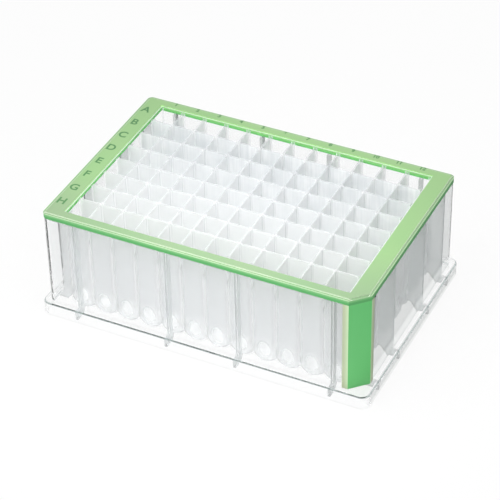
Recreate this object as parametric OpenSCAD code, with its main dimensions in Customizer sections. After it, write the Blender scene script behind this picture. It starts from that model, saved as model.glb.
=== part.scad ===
// Clear 96-well deep plate with a coloured border moulded onto its top.
// Millimetres, Z up, origin at the middle of the footprint on the surface it stands on.

/* [View] */
// Piece to draw

/* [Footprint] */
// Distance from the ends of the base flange to the centres of columns 1 and 12
end_margin = 14.38; // [13.5:0.01:18]
// Distance from the sides of the base flange to the centres of rows A and H
side_margin = 11.24; // [10.6:0.01:15]
// Corner radius of the base flange
base_r = 3.4; // [2.8:0.1:4.5]
// Height of the whole plate
plate_h = 44.1; // [30:0.1:60]
// Height of the base flange
flange_h = 5.2; // [4:0.1:7]
// Wall thickness of the base flange
flange_t = 1.2; // [0.9:0.1:1.6]
// Radius along the top edge of the flange
flange_edge_r = 0.9; // [0.4:0.1:1.1]

/* [Shell] */
// Setback of the shell from the flange edge
ledge_w = 2.5; // [2.3:0.1:2.8]
// Wall thickness of the shell
shell_t = 1.2; // [1:0.1:1.4]
// Radius of the vertical corners of the shell
shell_r = 1.8; // [1.5:0.1:2.4]
// Thickness of the deck between shell and wells
deck_t = 1; // [0.8:0.1:1.6]
// Thickness of the webs between shell and wells
web_t = 1; // [0.8:0.1:1.6]
// Height of the feet of the webs above the base
web_foot_z = 1; // [0.6:0.1:1.6]

/* [Wells] */
// Distance between well centres
pitch = 9; // [8:0.05:10]
// Thickness of the walls between wells
grid_wall = 0.6; // [0.5:0.05:1.2]
// Inside corner radius of a well
well_r = 0.8; // [0.5:0.1:1.5]
// Wall thickness around the block of wells and under each well
well_wall = 0.8; // [0.7:0.05:1.1]
// Outside corner radius of the wells around the edge of the block
block_r = 2.2; // [1.8:0.1:2.6]
// How far the radius of the domed bottoms reaches past the corners of a well
dome_over = 0.12; // [0.1:0.02:0.8]
// Height of the lowest point of the wells above the base
tip_z = 1.6; // [1:0.1:3]
// Drop of the well rims below the top of the border
rim_drop = 0.4; // [0.2:0.1:0.8]

/* [Border] */
// Height of the coloured border
border_h = 2.3; // [1.8:0.1:3.2]
// Overhang of the border past the shell
border_over = 0.2; // [0.1:0.05:0.4]
// Width of the lowered lip around the border
lip_w = 0.9; // [0.6:0.1:1.4]
// Depth of the lowered lip
lip_drop = 0.3; // [0.2:0.05:0.5]
// Corner radius of the opening in the border, where the collar of well rims stands
opening_r = 0.5; // [0.3:0.1:1.5]
// Leg of the cut corner beside well H12
cut_leg = 5.9; // [5:0.1:6.4]
// Width of the coloured panel past each side of the cut corner
panel_wrap = 2.2; // [1.6:0.1:2.4]
// Depth of the coloured panel into the shell
panel_t = 0.6; // [0.4:0.05:0.7]

/* [Hidden] */
$fn = 48;
cols = 12;
rows = 8;
// overlap that fuses two shapes of one moulding
eps = 0.01;
// how far a cutting shape runs past the face it opens
past = 1;
// smallest corner radius that an inset outline keeps
min_r = 0.3;
// what a cut corner's leg loses for each millimetre that the outline is drawn in
leg_loss = 2 - sqrt(2);
// the block of wells
well_w = pitch - grid_wall;
half_well = well_w / 2;
half_cell = half_well + well_wall;
cell_flat = half_cell - block_r;
block_l = (cols - 1) * pitch + 2 * half_cell;
block_w = (rows - 1) * pitch + 2 * half_cell;
dome_r = (half_well - well_r) * sqrt(2) + well_r + dome_over;
dome_out_r = dome_r + well_wall;
dome_z = tip_z + dome_out_r;
rim_z = plate_h - rim_drop;
// the base flange
base_l = (cols - 1) * pitch + 2 * end_margin;
base_w = (rows - 1) * pitch + 2 * side_margin;
// the shell and the deck
shell_l = base_l - 2 * ledge_w;
shell_w = base_w - 2 * ledge_w;
deck_z = plate_h - border_h;
deck_low = deck_z - deck_t;
ledge_t = flange_t;
ledge_low = flange_h - ledge_t;
// the coloured border
border_l = shell_l + 2 * border_over;
border_w = shell_w + 2 * border_over;
border_r = shell_r + border_over;
lug_w = 2;
lug_h = 0.6;
lug_t = 0.8;
// the webs stand in line with wells 1, 5, 8 and 12, and with rows A, C, F and H
web_cols = [0, 4, 7, 11];
web_rows = [0, 2, 5, 7];
web_slope_w = 2.9;
web_slope_h = 3.8;
web_foot_w = 5.4;
web_bite = 0.5;

function col_x(i) = (i - (cols - 1) / 2) * pitch;
function row_y(j) = (j - (rows - 1) / 2) * pitch;

// rectangle with round corners, centred
module round_rect(l, w, r) {
    square([l - 2 * r, w], center = true);
    square([l, w - 2 * r], center = true);
    for (sx = [-1, 1], sy = [-1, 1])
        translate([sx * (l / 2 - r), sy * (w / 2 - r)]) circle(r = r);
}

// a square laid over the corner beside well H12, its side a leg long line at 45 degrees
module corner_square(l, w, leg) {
    translate([l / 2 - leg / 2, -w / 2 + leg / 2])
        rotate(45) translate([0, -w / 4]) square([w, w / 2], center = true);
}

// outline of shell and border: round corners and one cut corner, drawn in by inset
module cut_outline(l, w, r, leg, inset = 0) {
    // the cut face moves in square to itself by the same inset
    difference() {
        round_rect(l - 2 * inset, w - 2 * inset, max(r - inset, min_r));
        corner_square(l - 2 * inset, w - 2 * inset, leg - inset * leg_loss);
    }
}

module shell_outline(inset = 0) {
    cut_outline(shell_l, shell_w, shell_r, cut_leg - border_over * leg_loss, inset);
}

module border_outline(inset = 0) {
    cut_outline(border_l, border_w, border_r, cut_leg, inset);
}

// outline of the block of wells, scalloped between the outer wells
module block_outline() {
    square([block_l - 2 * block_r, block_w - 2 * block_r], center = true);
    for (i = [0:cols - 1]) {
        translate([col_x(i), 0]) square([2 * cell_flat, block_w], center = true);
        for (s = [-1, 1], t = [-1, 1])
            translate([col_x(i) + s * cell_flat, t * (block_w / 2 - block_r)]) circle(r = block_r);
    }
    for (j = [0:rows - 1]) {
        translate([0, row_y(j)]) square([block_l, 2 * cell_flat], center = true);
        for (s = [-1, 1], t = [-1, 1])
            translate([t * (block_l / 2 - block_r), row_y(j) + s * cell_flat]) circle(r = block_r);
    }
}

module collar_outline() {
    round_rect(block_l, block_w, opening_r);
}

// the hollow of one well: a square shaft with round corners and a domed bottom
module well_hollow() {
    intersection() {
        linear_extrude(plate_h + past) round_rect(well_w, well_w, well_r);
        union() {
            translate([0, 0, dome_z]) sphere(r = dome_r);
            translate([0, 0, dome_z]) cylinder(r = dome_r, h = plate_h);
        }
    }
}

module at_wells() {
    for (i = [0:cols - 1], j = [0:rows - 1])
        translate([col_x(i), row_y(j), 0]) children();
}

// base flange with a round top edge, hollow below the ledge
module flange() {
    e = flange_edge_r;
    difference() {
        union() {
            linear_extrude(flange_h - e) round_rect(base_l, base_w, base_r);
            linear_extrude(flange_h) round_rect(base_l - 2 * e, base_w - 2 * e, base_r - e);
            translate([0, 0, flange_h - e]) {
                for (s = [-1, 1]) {
                    translate([-(base_l / 2 - base_r), s * (base_w / 2 - e), 0]) rotate([0, 90, 0])
                        cylinder(r = e, h = base_l - 2 * base_r);
                    translate([s * (base_l / 2 - e), base_w / 2 - base_r, 0]) rotate([90, 0, 0])
                        cylinder(r = e, h = base_w - 2 * base_r);
                }
                for (sx = [-1, 1], sy = [-1, 1])
                    translate([sx * (base_l / 2 - base_r), sy * (base_w / 2 - base_r), 0])
                        rotate_extrude() translate([base_r - e, 0]) intersection() {
                            circle(r = e);
                            translate([0, -e]) square([e, 2 * e]);
                        }
            }
        }
        translate([0, 0, -past]) linear_extrude(ledge_low + past)
            round_rect(base_l - 2 * flange_t, base_w - 2 * flange_t, base_r - flange_t);
        translate([0, 0, -past]) linear_extrude(flange_h + 2 * past) shell_outline(shell_t);
    }
}

// outer wall from the ledge to the deck
module shell() {
    translate([0, 0, ledge_low]) linear_extrude(deck_z - ledge_low) difference() {
        shell_outline();
        shell_outline(shell_t);
    }
}

// deck from the shell to the wells, and the collar of well rims that stands up from it
module deck() {
    translate([0, 0, deck_low]) {
        linear_extrude(deck_t) shell_outline();
        linear_extrude(rim_z - deck_low) collar_outline();
    }
}

// one web in the gap between wells and shell, out to the flange wall
// x runs outward from the face of the block, reach is the distance to the flange edge
module web(reach) {
    foot = max(reach - web_foot_w, 0);
    slope = max(foot - web_slope_w, -web_bite);
    rise = web_foot_z + web_slope_h * (foot - slope) / web_slope_w;
    top_out = reach - ledge_w - shell_t / 2;
    rotate([90, 0, 0]) translate([0, 0, -web_t / 2]) linear_extrude(web_t)
        polygon([[-web_bite, rise], [slope, rise], [foot, web_foot_z],
                 [reach - flange_t / 2, web_foot_z], [reach - flange_t / 2, ledge_low + eps],
                 [top_out, ledge_low + eps], [top_out, deck_low + eps], [-web_bite, deck_low + eps]]);
}

module webs() {
    for (c = web_cols) {
        translate([col_x(c), block_w / 2, 0]) rotate(90) web((base_w - block_w) / 2);
        translate([col_x(c), -block_w / 2, 0]) rotate(-90) web((base_w - block_w) / 2);
    }
    for (c = web_rows) {
        translate([block_l / 2, row_y(c), 0]) web((base_l - block_l) / 2);
        translate([-block_l / 2, row_y(c), 0]) rotate(180) web((base_l - block_l) / 2);
    }
}

// small keys on the deck edge that the border is moulded around
module lugs() {
    translate([0, 0, deck_low]) linear_extrude(deck_t + lug_h) {
        for (c = web_cols, s = [-1, 1])
            translate([col_x(c), s * (shell_w / 2 - lug_t / 2)]) square([lug_w, lug_t], center = true);
        for (c = web_rows, s = [-1, 1])
            translate([s * (shell_l / 2 - lug_t / 2), row_y(c)]) square([lug_t, lug_w], center = true);
    }
}

module block() {
    intersection() {
        translate([0, 0, tip_z]) linear_extrude(deck_low - tip_z + eps) block_outline();
        union() {
            at_wells() translate([0, 0, dome_z]) sphere(r = dome_out_r);
            translate([0, 0, dome_z + deck_low / 2])
                cube([block_l + past, block_w + past, deck_low], center = true);
        }
    }
}

// corner post of the border: the shell's outer skin around the cut corner
module panel_zone() {
    intersection() {
        border_outline();
        corner_square(border_l, border_w, cut_leg + panel_wrap);
    }
}

module panel_recess() {
    translate([0, 0, flange_h]) linear_extrude(plate_h) difference() {
        panel_zone();
        shell_outline(panel_t);
    }
}

module plate_body() {
    color([0.86, 0.88, 0.9]) difference() {
        union() {
            flange();
            difference() {
                union() {
                    shell();
                    deck();
                }
                panel_recess();
            }
            webs();
            block();
            lugs();
        }
        at_wells() well_hollow();
    }
}

module top_border() {
    color([0.4, 0.65, 0.33]) difference() {
        union() {
            translate([0, 0, deck_z]) linear_extrude(border_h - lip_drop) border_outline();
            translate([0, 0, deck_z]) linear_extrude(border_h) border_outline(lip_w);
            translate([0, 0, flange_h]) linear_extrude(deck_z - flange_h + eps) difference() {
                panel_zone();
                shell_outline(panel_t);
            }
        }
        translate([0, 0, deck_z - past]) linear_extrude(border_h + 2 * past) collar_outline();
        lugs();
    }
}

plate_body();
top_border();
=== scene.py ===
import math

import bmesh
import bpy
from mathutils import Matrix, Vector


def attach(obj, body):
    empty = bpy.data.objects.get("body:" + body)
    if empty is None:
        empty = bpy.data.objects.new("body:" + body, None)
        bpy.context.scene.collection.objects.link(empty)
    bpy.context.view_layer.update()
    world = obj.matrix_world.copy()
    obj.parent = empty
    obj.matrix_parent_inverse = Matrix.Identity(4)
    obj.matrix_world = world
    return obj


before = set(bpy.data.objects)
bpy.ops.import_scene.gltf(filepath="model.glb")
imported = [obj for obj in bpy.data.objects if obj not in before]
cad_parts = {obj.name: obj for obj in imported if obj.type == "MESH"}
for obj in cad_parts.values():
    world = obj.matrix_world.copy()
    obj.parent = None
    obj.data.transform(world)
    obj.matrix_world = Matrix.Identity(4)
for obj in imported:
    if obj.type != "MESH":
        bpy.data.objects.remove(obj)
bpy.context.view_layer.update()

# Deep well plate: clear moulded body, green border, printed well marks.
# Metres, +Z up, the plate stands on z = 0 with its long side along X.

scene = bpy.context.scene
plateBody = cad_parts["plate_body"]
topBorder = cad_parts["top_border"]
mm = 0.001
scene.view_settings.view_transform = "Standard"


# helpers for colours, materials and shader nodes

def linear(r, g, b):
    # screen colour, 0 to 255, to the linear colour that a shader takes
    def one(c):
        c = c / 255
        return c / 12.92 if c <= 0.04045 else ((c + 0.055) / 1.055) ** 2.4
    return (one(r), one(g), one(b), 1.0)


def newMaterial(name):
    material = bpy.data.materials.new(name)
    material.use_nodes = True
    material.node_tree.nodes.clear()
    return material, material.node_tree


def addNode(tree, kind, **inputs):
    # an underscore in a keyword stands for the space in the socket's name
    node = tree.nodes.new(kind)
    for key, value in inputs.items():
        node.inputs[key.replace("_", " ")].default_value = value
    return node


def setOrLink(tree, socket, value):
    if hasattr(value, "is_output"):
        tree.links.new(value, socket)
    else:
        socket.default_value = value


def mathNode(tree, operation, first, second=None):
    node = addNode(tree, "ShaderNodeMath")
    node.operation = operation
    setOrLink(tree, node.inputs[0], first)
    if second is not None:
        setOrLink(tree, node.inputs[1], second)
    return node.outputs[0]


def product(tree, *values):
    result = values[0]
    for value in values[1:]:
        result = mathNode(tree, "MULTIPLY", result, value)
    return result


def inverse(tree, mask):
    return mathNode(tree, "SUBTRACT", 1.0, mask)


def absolute(tree, value):
    return mathNode(tree, "ABSOLUTE", value)


def rampMask(tree, value, limits, smooth=False):
    # 0 on the first limit's side, 1 on the second one's
    node = addNode(tree, "ShaderNodeMapRange")
    if smooth:
        node.interpolation_type = "SMOOTHSTEP"
    node.inputs["From Min"].default_value = limits[0]
    node.inputs["From Max"].default_value = limits[1]
    tree.links.new(value, node.inputs["Value"])
    return node.outputs["Result"]


def bandMask(tree, value, rising, falling):
    # 1 between the two pairs of limits
    return mathNode(tree, "SUBTRACT", rampMask(tree, value, rising), rampMask(tree, value, falling))


def lineMask(tree, distance, width):
    # 1 up to half the width, 0 beyond it
    return rampMask(tree, distance, (width, width * 0.5))


def mixNumber(tree, mask, first, second):
    node = addNode(tree, "ShaderNodeMix")
    setOrLink(tree, node.inputs[0], mask)
    setOrLink(tree, node.inputs[2], first)
    setOrLink(tree, node.inputs[3], second)
    return node.outputs[0]


def mixColour(tree, mask, first, second):
    node = addNode(tree, "ShaderNodeMix")
    node.data_type = "RGBA"
    setOrLink(tree, node.inputs[0], mask)
    setOrLink(tree, node.inputs[6], first)
    setOrLink(tree, node.inputs[7], second)
    return node.outputs[2]


def mixToOutput(tree, mask, first, second, outputKind="ShaderNodeOutputMaterial"):
    # the first shader where the mask is 0, the second where it is 1
    mix = addNode(tree, "ShaderNodeMixShader")
    out = addNode(tree, outputKind)
    tree.links.new(mask, mix.inputs[0])
    tree.links.new(first.outputs[0], mix.inputs[1])
    tree.links.new(second.outputs[0], mix.inputs[2])
    tree.links.new(mix.outputs[0], out.inputs[0])


def objectPlace(tree):
    # object coordinates and the object's own normal, each as x, y, z
    coords = addNode(tree, "ShaderNodeTexCoord")
    place = addNode(tree, "ShaderNodeSeparateXYZ")
    turn = addNode(tree, "ShaderNodeSeparateXYZ")
    tree.links.new(coords.outputs["Object"], place.inputs[0])
    tree.links.new(coords.outputs["Normal"], turn.inputs[0])
    return place.outputs, turn.outputs


def cleanRay(tree):
    # 1 for what the camera sees straight, in gloss or through clear plastic,
    # 0 for light that falls on a surface
    path = addNode(tree, "ShaderNodeLightPath")
    seen = mathNode(tree, "MAXIMUM", path.outputs["Is Camera Ray"], path.outputs["Is Glossy Ray"])
    seen = mathNode(tree, "MAXIMUM", seen, path.outputs["Is Transmission Ray"])
    return product(tree, seen, mathNode(tree, "LESS_THAN", path.outputs["Diffuse Depth"], 0.5))


# camera, turned to the right of the front and looking down

cameraSet = {
    "azimuth": 26.64,
    "elevation": 37.67,
    "roll": -1.26,
    "distance": 0.75859,
    "target": (0.00133, -0.00382, 0.022),
    "lens": 152.95,
    "sensorWidth": 36,
    "clipStart": 0.01,
    "clipEnd": 20,
}


def makeCamera(values):
    a = math.radians(values["azimuth"])
    e = math.radians(values["elevation"])
    r = math.radians(values["roll"])
    back = Vector((math.sin(a) * math.cos(e), -math.cos(a) * math.cos(e), math.sin(e)))
    right = Vector((math.cos(a), math.sin(a), 0))
    up = back.cross(right)
    rolledRight = math.cos(r) * right + math.sin(r) * up
    rolledUp = math.cos(r) * up - math.sin(r) * right
    turn = Matrix((rolledRight, rolledUp, back)).transposed()
    place = Vector(values["target"]) + back * values["distance"]
    data = bpy.data.cameras.new("plateCamera")
    data.lens = values["lens"]
    data.sensor_width = values["sensorWidth"]
    data.clip_start = values["clipStart"]
    data.clip_end = values["clipEnd"]
    camera = bpy.data.objects.new("plateCamera", data)
    camera.matrix_world = Matrix.Translation(place) @ turn.to_4x4()
    scene.collection.objects.link(camera)
    scene.camera = camera


makeCamera(cameraSet)
print("camera in place")


# white studio with a dark side at the right

worldSet = {
    "fill": 0.96,                 # light from the left, the front and above
    "fillRight": 0.14,            # light from the right, where the studio is dark
    "seenRight": 0.0,             # what gloss and clear plastic show of that dark side
    "rightRange": (-0.2, 0.4),    # where the dark side starts and is full
    "skyRange": (0.05, 0.3),      # how high up it ends
    "aboveDim": 0.25,             # how much less light comes from straight above
    "aboveRange": (0.4, 0.9),
    "behindDim": 0.3,             # and from behind
    "behindRange": (0.0, 0.8),
    "tone": (1, 1, 1, 1),
}


def makeWorld(values):
    world = bpy.data.worlds.new("studioWorld")
    world.use_nodes = True
    tree = world.node_tree
    tree.nodes.clear()
    coords = addNode(tree, "ShaderNodeTexCoord")
    way = addNode(tree, "ShaderNodeSeparateXYZ")
    tree.links.new(coords.outputs["Generated"], way.inputs[0])
    toRight = rampMask(tree, way.outputs[0], values["rightRange"], smooth=True)
    toSky = rampMask(tree, way.outputs[2], values["skyRange"], smooth=True)
    dark = product(tree, toRight, inverse(tree, toSky))

    def toneAcross(left, right):
        return mathNode(tree, "SUBTRACT", left, product(tree, dark, left - right))

    above = rampMask(tree, way.outputs[2], values["aboveRange"], smooth=True)
    above = inverse(tree, product(tree, above, values["aboveDim"]))
    behind = rampMask(tree, way.outputs[1], values["behindRange"], smooth=True)
    behind = inverse(tree, product(tree, behind, values["behindDim"]))
    fill = addNode(tree, "ShaderNodeBackground", Color=values["tone"])
    soft = product(tree, toneAcross(values["fill"], values["fillRight"]), above, behind)
    tree.links.new(soft, fill.inputs["Strength"])
    seen = addNode(tree, "ShaderNodeBackground", Color=values["tone"])
    straight = addNode(tree, "ShaderNodeLightPath").outputs["Is Camera Ray"]
    bright = mathNode(tree, "MAXIMUM", toneAcross(1.0, values["seenRight"]), straight)
    tree.links.new(bright, seen.inputs["Strength"])
    mixToOutput(tree, cleanRay(tree), fill, seen, "ShaderNodeOutputWorld")
    scene.world = world


lampSet = {
    "topSoftLight": {
        "size": 0.9,
        "power": 0.2,
        "place": (-0.15, 0.1, 0.9),
        "aim": (0, 0, 0),
    },
    "frontSoftLight": {
        "size": 0.1,
        "power": 0.16,
        "place": (0.004, -0.055, 0.155),
        "aim": (0.01, -0.01, 0.03),
    },
}


def areaLamp(name, values):
    data = bpy.data.lights.new(name, "AREA")
    data.shape = "SQUARE"
    data.size = values["size"]
    data.energy = values["power"]
    lamp = bpy.data.objects.new(name, data)
    way = Vector(values["aim"]) - Vector(values["place"])
    turn = way.to_track_quat("-Z", "Y").to_matrix().to_4x4()
    lamp.matrix_world = Matrix.Translation(values["place"]) @ turn
    scene.collection.objects.link(lamp)


def flatSheet(name, width, depth, middle):
    bm = bmesh.new()
    bmesh.ops.create_grid(bm, x_segments=1, y_segments=1, size=0.5)
    mesh = bpy.data.meshes.new(name)
    bm.to_mesh(mesh)
    bm.free()
    mesh.transform(Matrix.Diagonal((width, depth, 1, 1)))
    mesh.transform(Matrix.Translation(middle))
    sheet = bpy.data.objects.new(name, mesh)
    scene.collection.objects.link(sheet)
    return sheet


floorSet = {
    "size": 6.0,
    "drop": 0.2 * mm,       # how far it lies under the plate's foot
    "colour": (0.95, 0.95, 0.95, 1),
    "glow": (1, 1, 1, 1),
    "shadowShare": 0.1,     # how much of the shadows on it is seen
}


def makeFloor(values):
    floor = flatSheet("floor", values["size"], values["size"], (0, 0, -values["drop"]))
    material, tree = newMaterial("paleFloor")
    matte = addNode(tree, "ShaderNodeBsdfDiffuse", Color=values["colour"])
    glow = addNode(tree, "ShaderNodeEmission", Color=values["glow"], Strength=1.0)
    mixToOutput(tree, product(tree, cleanRay(tree), 1 - values["shadowShare"]), matte, glow)
    floor.data.materials.append(material)


# dark card on the floor at the right, which only soft light and gloss meet, and only from above
cardSet = {
    "near": 64.5 * mm,
    "far": 500.0 * mm,
    "front": -45.0 * mm,
    "back": 300.0 * mm,
    "lift": 0.3 * mm,
    "tone": (0.4, 0.4, 0.4, 1),
}


def makeSideCard(values):
    span = values["far"] - values["near"]
    depth = values["back"] - values["front"]
    middle = (values["near"] + span / 2, values["front"] + depth / 2, values["lift"])
    card = flatSheet("sideCard", span, depth, middle)
    material, tree = newMaterial("darkSideCard")
    path = addNode(tree, "ShaderNodeLightPath")
    through = mathNode(tree, "MAXIMUM", path.outputs["Is Camera Ray"], path.outputs["Is Transmission Ray"])
    below = addNode(tree, "ShaderNodeNewGeometry").outputs["Backfacing"]
    through = mathNode(tree, "MAXIMUM", through, below)
    matte = addNode(tree, "ShaderNodeBsdfDiffuse", Color=values["tone"])
    clear = addNode(tree, "ShaderNodeBsdfTransparent")
    mixToOutput(tree, through, matte, clear)
    card.data.materials.append(material)


makeWorld(worldSet)
makeFloor(floorSet)
makeSideCard(cardSet)
for lampName, lampValues in lampSet.items():
    areaLamp(lampName, lampValues)
print("studio in place")


# moulded finish that every material of the plate shares, on object coordinates
finishSet = {
    "Shade": {"scale": 60.0, "detail": 2.0, "roughness": 0.5},       # slow changes of tone
    "Streak": {"scale": 1500.0, "detail": 3.0, "roughness": 0.6},    # upright drawing marks
    "Grain": {"scale": 2500.0, "detail": 3.0, "roughness": 0.6},
}
streakStretch = (1, 1, 0.04)


def makeMouldedFinish(values):
    group = bpy.data.node_groups.new("mouldedFinish", "ShaderNodeTree")
    face = group.interface
    for name, noiseValues in values.items():
        socket = face.new_socket(name=name + " Scale", in_out="INPUT", socket_type="NodeSocketFloat")
        socket.default_value = noiseValues["scale"]
        face.new_socket(name=name, in_out="OUTPUT", socket_type="NodeSocketFloat")
    entry = addNode(group, "NodeGroupInput")
    leave = addNode(group, "NodeGroupOutput")
    place = addNode(group, "ShaderNodeTexCoord").outputs["Object"]
    drawn = addNode(group, "ShaderNodeMapping", Scale=streakStretch)
    group.links.new(place, drawn.inputs["Vector"])
    for name, noiseValues in values.items():
        noise = addNode(group, "ShaderNodeTexNoise", Detail=noiseValues["detail"],
                        Roughness=noiseValues["roughness"])
        group.links.new(drawn.outputs["Vector"] if name == "Streak" else place, noise.inputs["Vector"])
        group.links.new(entry.outputs[name + " Scale"], noise.inputs["Scale"])
        group.links.new(noise.outputs[0], leave.inputs[name])
    return group


mouldedFinish = makeMouldedFinish(finishSet)


def finishNode(tree, **scales):
    node = tree.nodes.new("ShaderNodeGroup")
    node.node_tree = mouldedFinish
    for key, value in scales.items():
        node.inputs[key.replace("_", " ")].default_value = value
    return node


def addBump(tree, shader, height, values):
    bump = addNode(tree, "ShaderNodeBump", Strength=values["bumpStrength"], Distance=values["bumpDepth"])
    tree.links.new(height, bump.inputs["Height"])
    tree.links.new(bump.outputs["Normal"], shader.inputs["Normal"])


# clear plastic of the shell, the deck and the base flange

shellSet = {
    "tint": (0.995, 0.998, 1, 1),
    "edgeShade": (0.14, 0.22, 0.18, 1),     # painted shade where the wall is seen edge on, for the dark and green surroundings seen through it
    "edgePower": 4.0,
    "flangeLineShade": (0.3, 0.37, 0.36, 1),      # painted dark line along the round edge on top of the flange
    "lineLean": (0.3, 0.5),                # how that edge leans, as the height part of its normal
    "lineFlat": (0.9, 0.97),
    "lineFoot": (4.1 * mm, 4.3 * mm),
    "lineTop": (5.2 * mm, 5.3 * mm),
    "roughness": 0.03,
    "transmission": 0.99,
    "ior": 1.49,
    "shadowTint": (0.96, 0.96, 0.96, 1),
    "footHeight": 0.2 * mm,
    "shadeScale": 90.0,
    "bumpStrength": 0.1,
    "bumpDepth": 0.4 * mm,
}


def shellPlastic(values):
    material, tree = newMaterial("clearShellPlastic")
    shader = addNode(tree, "ShaderNodeBsdfPrincipled", Roughness=values["roughness"],
                     IOR=values["ior"], Transmission_Weight=values["transmission"])
    place, turn = objectPlace(tree)
    # painted dark line along the round top edge of the flange
    onEdge = bandMask(tree, absolute(tree, turn[2]), values["lineLean"], values["lineFlat"])
    onFlange = bandMask(tree, place[2], values["lineFoot"], values["lineTop"])
    tint = mixColour(tree, product(tree, onEdge, onFlange), values["tint"], values["flangeLineShade"])
    # painted shade: darker and greener where the wall is seen edge on
    slant = addNode(tree, "ShaderNodeLayerWeight", Blend=0.5).outputs["Facing"]
    edge = mathNode(tree, "POWER", slant, values["edgePower"])
    tint = mixColour(tree, edge, tint, values["edgeShade"])
    tree.links.new(tint, shader.inputs["Base Color"])
    finish = finishNode(tree, Shade_Scale=values["shadeScale"])
    addBump(tree, shader, finish.outputs["Shade"], values)
    # the foot of the flange lets light straight through to what it stands on
    clear = addNode(tree, "ShaderNodeBsdfTransparent", Color=values["shadowTint"])
    foot = lineMask(tree, place[2], values["footHeight"])
    shadow = addNode(tree, "ShaderNodeLightPath").outputs["Is Shadow Ray"]
    mixToOutput(tree, mathNode(tree, "MAXIMUM", shadow, foot), shader, clear)
    return material


# frosted plastic of the wells and the webs; half sizes are along X and along Y

zoneSet = {
    "blockHalf": (54.6 * mm, 36.6 * mm),      # round the block of wells
    "outerHalf": (54.05 * mm, 36.05 * mm),    # just inside its outside face
    "coreHalf": (53.65 * mm, 35.65 * mm),     # the walls between wells lie within
    "webHalfWidth": 0.52 * mm,
    "webColumns": (-49.5 * mm, -13.5 * mm, 13.5 * mm, 49.5 * mm),
    "webRows": (-31.5 * mm, -13.5 * mm, 13.5 * mm, 31.5 * mm),
    "webEnd": (62.6 * mm, 41.5 * mm),
    "webFlat": 0.95,                          # a face that lies flatter is no web
    "deckLow": 40.75 * mm,
    "deckHigh": 41.85 * mm,
    "deckFlat": 0.9,
    "step": 0.01 * mm,                        # width of the change between two zones
}

wellSet = {
    "tint": (0.97, 0.978, 0.985, 1),
    "rearShade": (0.74, 0.77, 0.795, 1),       # painted shade, greyer towards the back rows
    "rearRange": (-22.0 * mm, 30.0 * mm),
    "shadeTint": (0.955, 0.965, 0.975, 1),
    "shadeRange": (0.15, 0.4),
    # painted shade on the outside wall of the block, greyer than the walls within
    "skinShade": (0.9, 0.92, 0.935, 1),
    "edgeShade": (0.3, 0.33, 0.34, 1),         # painted shade: dark outlines where the domes are seen edge on
    "edgePower": 2.2,
    "edgeRange": (12.0 * mm, 8.0 * mm),
    # painted shade on the webs, greyer than the wells
    "webShade": (0.75, 0.78, 0.79, 1),
    "webSlopeShade": (0.16, 0.18, 0.18, 1),        # painted shade, dark on the faces of the webs that slope
    "webUnderRange": (0.15, 0.3),
    "roughness": 0.3,
    "ior": 1.49,
    "haze": 0.24,                             # how much one wall hides when it is seen square on
    "lightHaze": 0.05,                        # and how much light it stops, as most is only scattered
    "slantLimit": 0.08,
    "coreShare": 1.6,                         # share of the haze in the walls between wells, low down
    "upperShare": 2.2,                        # and high up
    "crossShare": 0.45,                       # what is left of it in the walls between columns
    "crossRange": (0.8, 0.9),
    "skinShare": 1.8,                         # outside wall of the block
    "domeShare": 1.0,                         # its domes
    "domeRange": (12.0 * mm, 7.0 * mm),
    "collarShare": 0.035,                     # and its top, which is clear from within
    "collarRange": (30.0 * mm, 36.0 * mm),
    "deckShare": 0.06,
    "webShare": 1.4,
    "jointShare": 0.7,                        # added where two wells meet
    "jointWidth": 0.9 * mm,
    "jointFoot": (7.0 * mm, 10.0 * mm),
    "glowShare": 0.25,                        # where light gathers in the domes
    "glowHalfWidth": 2.9 * mm,
    "glowHalfHeight": 4.2 * mm,
    "glowHeight": 8.8 * mm,
    "glowRange": (1.0, 0.3),
    "rimHeight": 43.66 * mm,
    "rimHaze": 0.25,
    "pitch": 9.0 * mm,
    "streakScale": 1400.0,
    "shadeScale": 120.0,
    "bumpStrength": 0.03,
    "bumpDepth": 0.2 * mm,
}


def beyond(tree, value, limit):
    return rampMask(tree, value, (limit, limit + zoneSet["step"]))


def wellZones(tree, values):
    # masks for the parts of the block, the webs and the deck
    place, turn = objectPlace(tree)
    spanX = absolute(tree, place[0])
    spanY = absolute(tree, place[1])

    def outsideOf(half):
        return mathNode(tree, "MAXIMUM", beyond(tree, spanX, half[0]), beyond(tree, spanY, half[1]))

    zones = {"place": place, "turn": turn}
    zones["notCore"] = outsideOf(zoneSet["coreHalf"])
    zones["notBlock"] = outsideOf(zoneSet["blockHalf"])
    zones["outerFace"] = outsideOf(zoneSet["outerHalf"])
    zones["onDeck"] = product(tree, beyond(tree, place[2], zoneSet["deckLow"]), zones["notBlock"])
    zones["onWeb"] = mathNode(tree, "SUBTRACT", zones["notBlock"], zones["onDeck"])
    zones["upper"] = rampMask(tree, place[2], values["collarRange"])
    zones["aboveDomes"] = rampMask(tree, place[2], values["jointFoot"])
    # how far a point on the outside wall is from the nearest joint between two wells
    along = mixNumber(tree, beyond(tree, spanX, zoneSet["coreHalf"][0]), spanX, spanY)
    zones["toJoint"] = mathNode(tree, "PINGPONG", along, values["pitch"] / 2)
    joint = lineMask(tree, zones["toJoint"], values["jointWidth"])
    joint = product(tree, joint, zones["aboveDomes"], zones["notCore"])
    zones["joint"] = product(tree, joint, inverse(tree, zones["upper"]))
    return zones


def domeGlow(tree, zones, values):
    # an upright ellipse in the middle of each dome
    def squared(value, middle, half):
        offset = mathNode(tree, "SUBTRACT", value, middle)
        return mathNode(tree, "POWER", mathNode(tree, "DIVIDE", offset, half), 2.0)

    across = squared(zones["toJoint"], values["pitch"] / 2, values["glowHalfWidth"])
    upward = squared(zones["place"][2], values["glowHeight"], values["glowHalfHeight"])
    glow = rampMask(tree, mathNode(tree, "ADD", across, upward), values["glowRange"])
    return product(tree, glow, zones["notCore"])


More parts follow.
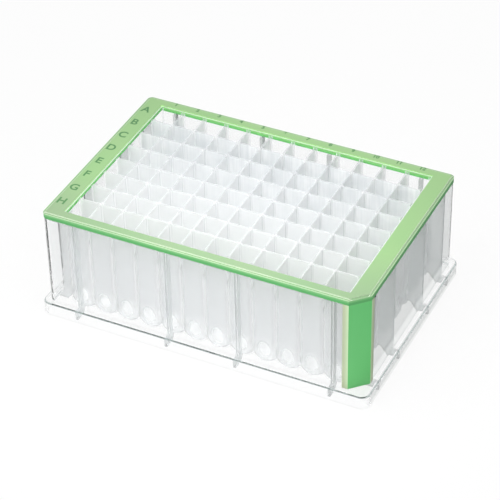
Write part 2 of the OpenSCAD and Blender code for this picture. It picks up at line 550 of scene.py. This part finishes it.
def wallShare(tree, zones, values):
    # how hazy each wall is, as a share of the haze
    core = mixNumber(tree, zones["upper"], values["coreShare"], values["upperShare"])
    cross = rampMask(tree, absolute(tree, zones["turn"][0]), values["crossRange"])
    core = product(tree, core, mixNumber(tree, cross, 1.0, values["crossShare"]))
    fromInside = addNode(tree, "ShaderNodeNewGeometry").outputs["Backfacing"]
    fromOutside = product(tree, zones["outerFace"], inverse(tree, fromInside))
    collar = mixNumber(tree, fromOutside, values["collarShare"], values["skinShare"])
    domes = rampMask(tree, zones["place"][2], values["domeRange"])
    skin = mixNumber(tree, domes, values["skinShare"], values["domeShare"])
    share = mixNumber(tree, zones["notCore"], core, mixNumber(tree, zones["upper"], skin, collar))
    share = mixNumber(tree, domeGlow(tree, zones, values), share, values["glowShare"])
    share = mathNode(tree, "ADD", share, product(tree, zones["joint"], values["jointShare"]))
    share = mixNumber(tree, zones["notBlock"], share, values["webShare"])
    return mixNumber(tree, zones["onDeck"], share, values["deckShare"])


def wellPlastic(values):
    material, tree = newMaterial("frostedWellPlastic")
    shader = addNode(tree, "ShaderNodeBsdfPrincipled", Roughness=values["roughness"], IOR=values["ior"])
    zones = wellZones(tree, values)
    place = zones["place"]
    clean = cleanRay(tree)
    slant = addNode(tree, "ShaderNodeLayerWeight", Blend=0.5).outputs["Facing"]
    # a wall seen at a slant is a longer way through the plastic, so it hides more
    square = mathNode(tree, "MAXIMUM", inverse(tree, slant), values["slantLimit"])
    way = mathNode(tree, "DIVIDE", wallShare(tree, zones, values), square)
    passed = mixNumber(tree, clean, 1 - values["lightHaze"], 1 - values["haze"])
    alpha = inverse(tree, mathNode(tree, "POWER", passed, way))
    rim = product(tree, beyond(tree, place[2], values["rimHeight"]), inverse(tree, zones["notCore"]))
    tree.links.new(mixNumber(tree, rim, alpha, values["rimHaze"]), shader.inputs["Alpha"])
    # tone, from the walls to the outside wall, the domes and the webs, with painted shade towards the back
    # rows, on the outside wall, round the domes' edges and on the webs
    finish = finishNode(tree, Streak_Scale=values["streakScale"], Shade_Scale=values["shadeScale"])
    shade = product(tree, finish.outputs["Streak"], finish.outputs["Shade"])
    shade = rampMask(tree, shade, values["shadeRange"])
    # painted shade: greyer towards the back rows
    rearward = rampMask(tree, place[1], values["rearRange"])
    colour = mixColour(tree, rearward, values["tint"], values["rearShade"])
    colour = mixColour(tree, shade, colour, values["shadeTint"])
    # painted shade on the outside wall
    skin = product(tree, zones["notCore"], zones["aboveDomes"], inverse(tree, zones["joint"]))
    colour = mixColour(tree, skin, colour, values["skinShade"])
    # painted shade round the domes' edges, where they are seen edge on
    dome = product(tree, rampMask(tree, place[2], values["edgeRange"]), zones["notCore"],
                   inverse(tree, zones["notBlock"]))
    edge = product(tree, mathNode(tree, "POWER", slant, values["edgePower"]), clean, dome)
    colour = mixColour(tree, edge, colour, values["edgeShade"])
    # painted shade on the webs
    colour = mixColour(tree, zones["onWeb"], colour, values["webShade"])
    # painted shade on the sloping faces of the webs
    sloping = rampMask(tree, absolute(tree, zones["turn"][2]), values["webUnderRange"])
    colour = mixColour(tree, product(tree, zones["onWeb"], sloping), colour, values["webSlopeShade"])
    tree.links.new(colour, shader.inputs["Base Color"])
    addBump(tree, shader, finish.outputs["Streak"], values)
    tree.links.new(shader.outputs[0], addNode(tree, "ShaderNodeOutputMaterial").inputs[0])
    return material


def dressBody(node, values):
    # the wells, the webs and the deck's faces are frosted, the shell and the base flange are clear
    node.data.materials.clear()
    node.data.materials.append(shellPlastic(shellSet))
    node.data.materials.append(wellPlastic(wellSet))
    half = values["webHalfWidth"]
    blockX, blockY = values["blockHalf"]
    endX, endY = values["webEnd"]
    for face in node.data.polygons:
        c = face.center
        inBlock = abs(c.x) < blockX and abs(c.y) < blockY
        inSkirt = abs(c.x) < endX and abs(c.y) < endY and c.z < values["deckLow"]
        webColumn = abs(c.y) > blockY and any(abs(c.x - x) < half for x in values["webColumns"])
        webRow = abs(c.x) > blockX and any(abs(c.y - y) < half for y in values["webRows"])
        onWeb = inSkirt and face.normal.z < values["webFlat"] and (webColumn or webRow)
        onDeck = values["deckLow"] < c.z < values["deckHigh"] and abs(face.normal.z) > values["deckFlat"]
        face.material_index = 1 if inBlock or onWeb or onDeck else 0


bounceSet = {
    "all": 48,       # a line of sight passes dozens of thin walls
    "diffuse": 24,
    "glossy": 8,
}


def setBounces(values):
    scene.cycles.max_bounces = values["all"]
    scene.cycles.transmission_bounces = values["all"]
    scene.cycles.transparent_max_bounces = values["all"]
    scene.cycles.diffuse_bounces = values["diffuse"]
    scene.cycles.glossy_bounces = values["glossy"]


dressBody(plateBody, zoneSet)
setBounces(bounceSet)
print("clear body dressed")


# green border: top, lowered lip, sides, inner faces and the panel down the cut corner

borderSet = {
    "top": linear(148, 187, 129),
    # painted shade: the top darker towards the front
    "frontTopShade": linear(142, 169, 130),
    "frontShadeRange": (-12.0 * mm, -36.0 * mm),
    "upRange": (0.3, 0.8),                    # how a face leans to count as top
    "lip": linear(132, 166, 123),
    # painted highlight round the lip's outer edge
    "lipEdgeHighlight": linear(178, 208, 166),
    "lipRange": (43.85 * mm, 43.95 * mm),     # the step between lip and top
    "lipWidth": 0.9 * mm,
    "rimHighlight": 0.3 * mm,                      # painted highlight round the lip's own edge
    "stepHighlight": 0.14 * mm,                    # painted highlight along the step
    # painted highlight on the riser of the step
    "riserHighlight": linear(216, 230, 206),
    "riserRange": (43.66 * mm, 43.7 * mm),
    # sides darker than the top and lighter towards their top edge: partly the green's own depth from the
    # two-shot moulding, partly painted light and shade
    "sideHigh": linear(140, 205, 136),
    "sideLow": linear(84, 174, 96),
    "sideRange": (42.6 * mm, 43.6 * mm),
    "outerX": (56.0 * mm, 56.1 * mm),         # sides lie outside, inner faces within
    "outerY": (38.0 * mm, 38.1 * mm),
    # painted light: the inner faces are brighter than the green to make up for the shade of the clear
    # collar, and lighter towards the top
    "innerHigh": linear(172, 226, 144),
    "innerLow": linear(104, 204, 110),
    "innerRange": (41.9 * mm, 43.9 * mm),
    "panelHigh": linear(100, 204, 116),
    "panelLow": linear(112, 212, 124),
    "panelRange": (5.2 * mm, 41.8 * mm),
    "panelTop": (41.78 * mm, 41.82 * mm),
    "slantRange": (1.2, 1.35),                # the slanting face of the panel
    "wrapOuter": linear(190, 200, 165),       # the faces that wrap round its two edges
    # painted highlight along the rounded edges of the slanting face
    "wrapEdgeHighlight": linear(214, 234, 194),
    "wrapRange": (94.4 * mm, 96.1 * mm),
    "shadeRange": (0.3, 0.7),
    "shadeDepth": 0.12,
    "shadeScale": 45.0,
    "grainScale": 2600.0,
    "bumpStrength": 0.12,
    "bumpDepth": 0.05 * mm,
    "roughness": 0.35,
    "ior": 1.49,
    "weldDistance": 0.002 * mm,
    "setBack": 0.02 * mm,                     # leaves room for the print
    "bevel": 0.16 * mm,
    "bevelSegments": 2,
    "bevelAngle": 40,
}


def ringColour(tree, place, turn, halfLength, halfWidth, values):
    spanX = absolute(tree, place[0])
    spanY = absolute(tree, place[1])
    # sides lighter towards the top: partly own colour, partly painted light and shade
    rise = rampMask(tree, place[2], values["sideRange"])
    side = mixColour(tree, rise, values["sideLow"], values["sideHigh"])
    # painted highlight on the riser
    onRiser = rampMask(tree, place[2], values["riserRange"])
    side = mixColour(tree, onRiser, side, values["riserHighlight"])
    outward = mathNode(tree, "MAXIMUM", rampMask(tree, spanX, values["outerX"]),
                       rampMask(tree, spanY, values["outerY"]))
    # painted light on the inner faces, lighter towards the top
    lift = rampMask(tree, place[2], values["innerRange"])
    inner = mixColour(tree, lift, values["innerLow"], values["innerHigh"])
    side = mixColour(tree, outward, inner, side)
    toEdge = mathNode(tree, "MINIMUM", mathNode(tree, "SUBTRACT", halfLength, spanX),
                      mathNode(tree, "SUBTRACT", halfWidth, spanY))
    # painted shade, darker towards the front
    frontShade = rampMask(tree, place[1], values["frontShadeRange"])
    top = mixColour(tree, frontShade, values["top"], values["frontTopShade"])
    # painted highlight round the lip's outer edge
    rimHighlight = lineMask(tree, toEdge, values["rimHighlight"])
    lip = mixColour(tree, rimHighlight, values["lip"], values["lipEdgeHighlight"])
    top = mixColour(tree, rampMask(tree, place[2], values["lipRange"]), lip, top)
    ring = mixColour(tree, rampMask(tree, turn[2], values["upRange"]), side, top)
    # painted highlight along the step down to the lip
    offStep = absolute(tree, mathNode(tree, "SUBTRACT", toEdge, values["lipWidth"]))
    line = product(tree, lineMask(tree, offStep, values["stepHighlight"]), outward, onRiser)
    return mixColour(tree, line, ring, values["riserHighlight"])


def panelColour(tree, place, turn, values):
    down = rampMask(tree, place[2], values["panelRange"])
    panel = mixColour(tree, down, values["panelLow"], values["panelHigh"])
    slant = rampMask(tree, mathNode(tree, "SUBTRACT", turn[0], turn[1]), values["slantRange"])
    # how far out a point lies towards the cut corner
    reach = mathNode(tree, "SUBTRACT", place[0], place[1])
    near = rampMask(tree, reach, values["wrapRange"])
    # painted highlight towards the rounded edges of the slanting face
    wrap = mixColour(tree, near, values["wrapOuter"], values["wrapEdgeHighlight"])
    return mixColour(tree, slant, wrap, panel)


def greenPlastic(values, halfLength, halfWidth):
    material, tree = newMaterial("greenBorderPlastic")
    shader = addNode(tree, "ShaderNodeBsdfPrincipled", Roughness=values["roughness"], IOR=values["ior"])
    place, turn = objectPlace(tree)
    finish = finishNode(tree, Shade_Scale=values["shadeScale"], Grain_Scale=values["grainScale"])
    ring = ringColour(tree, place, turn, halfLength, halfWidth, values)
    panel = panelColour(tree, place, turn, values)
    colour = mixColour(tree, rampMask(tree, place[2], values["panelTop"]), panel, ring)
    shade = rampMask(tree, finish.outputs["Shade"], values["shadeRange"])
    colour = mixColour(tree, product(tree, shade, values["shadeDepth"]), colour, values["sideLow"])
    tree.links.new(colour, shader.inputs["Base Color"])
    addBump(tree, shader, finish.outputs["Grain"], values)
    tree.links.new(shader.outputs[0], addNode(tree, "ShaderNodeOutputMaterial").inputs[0])
    return material


def dressBorder(node, values):
    node.data.materials.clear()
    reach = [max(abs(corner[i]) for corner in node.bound_box) for i in (0, 1)]
    node.data.materials.append(greenPlastic(values, reach[0], reach[1]))
    weld = node.modifiers.new("weld", "WELD")
    weld.merge_threshold = values["weldDistance"]
    back = node.modifiers.new("setBack", "DISPLACE")
    back.strength = -values["setBack"]
    back.mid_level = 0.0
    bevel = node.modifiers.new("softEdges", "BEVEL")
    bevel.width = values["bevel"]
    bevel.segments = values["bevelSegments"]
    bevel.limit_method = "ANGLE"
    bevel.angle_limit = math.radians(values["bevelAngle"])
    bevel.harden_normals = True


dressBorder(topBorder, borderSet)
print("green border dressed")


# row letters and column numbers

markSet = {
    "rows": "ABCDEFGH",
    "columns": 12,
    "pitch": 9.0 * mm,
    "letterX": -58.4 * mm,
    "letterHeight": 3.4 * mm,
    "letterBold": 0.1 * mm,
    "numberY": 38.9 * mm,
    "numberHeight": 1.7 * mm,
    "numberBold": 0.08 * mm,
    "level": 44.088 * mm,      # middle of the print's thickness
    "thickness": 0.02 * mm,
    "capShare": 0.7,           # height of a capital as a share of the type size
    "mergeDistance": 0.001 * mm,
    "colour": linear(72, 122, 72),
    "paleShare": 1.25,         # how much brighter the worn grain is
    "grainScale": 3000.0,
    "grainRange": (0.35, 0.65),
    "roughness": 0.5,
}


def printedMark(text, height, bold, place, values):
    curve = bpy.data.curves.new("mark", "FONT")
    curve.body = text
    curve.size = height / values["capShare"]
    curve.align_x = "CENTER"
    curve.align_y = "CENTER"
    curve.extrude = values["thickness"] / 2
    curve.offset = bold
    holder = bpy.data.objects.new("mark", curve)
    scene.collection.objects.link(holder)
    bpy.context.view_layer.update()
    mesh = bpy.data.meshes.new_from_object(holder.evaluated_get(bpy.context.evaluated_depsgraph_get()))
    bpy.data.objects.remove(holder)
    mesh.transform(Matrix.Translation(place))
    return mesh


def joinMarks(name, meshes, material, values):
    bm = bmesh.new()
    for mesh in meshes:
        bm.from_mesh(mesh)
        bpy.data.meshes.remove(mesh)
    bmesh.ops.remove_doubles(bm, verts=bm.verts, dist=values["mergeDistance"])
    bmesh.ops.recalc_face_normals(bm, faces=bm.faces)
    joined = bpy.data.meshes.new(name)
    bm.to_mesh(joined)
    bm.free()
    joined.materials.append(material)
    piece = bpy.data.objects.new(name, joined)
    scene.collection.objects.link(piece)
    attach(piece, "root")


def inkMaterial(values):
    material, tree = newMaterial("darkGreenPrint")
    shader = addNode(tree, "ShaderNodeBsdfPrincipled", Roughness=values["roughness"])
    finish = finishNode(tree, Grain_Scale=values["grainScale"])
    shade = rampMask(tree, finish.outputs["Grain"], values["grainRange"])
    dark = values["colour"]
    pale = tuple(min(1.0, c * values["paleShare"]) for c in dark[:3]) + (1.0,)
    tree.links.new(mixColour(tree, shade, dark, pale), shader.inputs["Base Color"])
    tree.links.new(shader.outputs[0], addNode(tree, "ShaderNodeOutputMaterial").inputs[0])
    return material


def makeMarks(values):
    ink = inkMaterial(values)
    lastRow = len(values["rows"]) - 1
    letters = []
    for i, text in enumerate(values["rows"]):
        place = (values["letterX"], (lastRow / 2 - i) * values["pitch"], values["level"])
        letters.append(printedMark(text, values["letterHeight"], values["letterBold"], place, values))
    lastColumn = values["columns"] - 1
    numbers = []
    for i in range(values["columns"]):
        place = ((i - lastColumn / 2) * values["pitch"], values["numberY"], values["level"])
        numbers.append(printedMark(str(i + 1), values["numberHeight"], values["numberBold"], place, values))
    joinMarks("row_letters", letters, ink, values)
    joinMarks("column_numbers", numbers, ink, values)


makeMarks(markSet)
print("well marks printed")
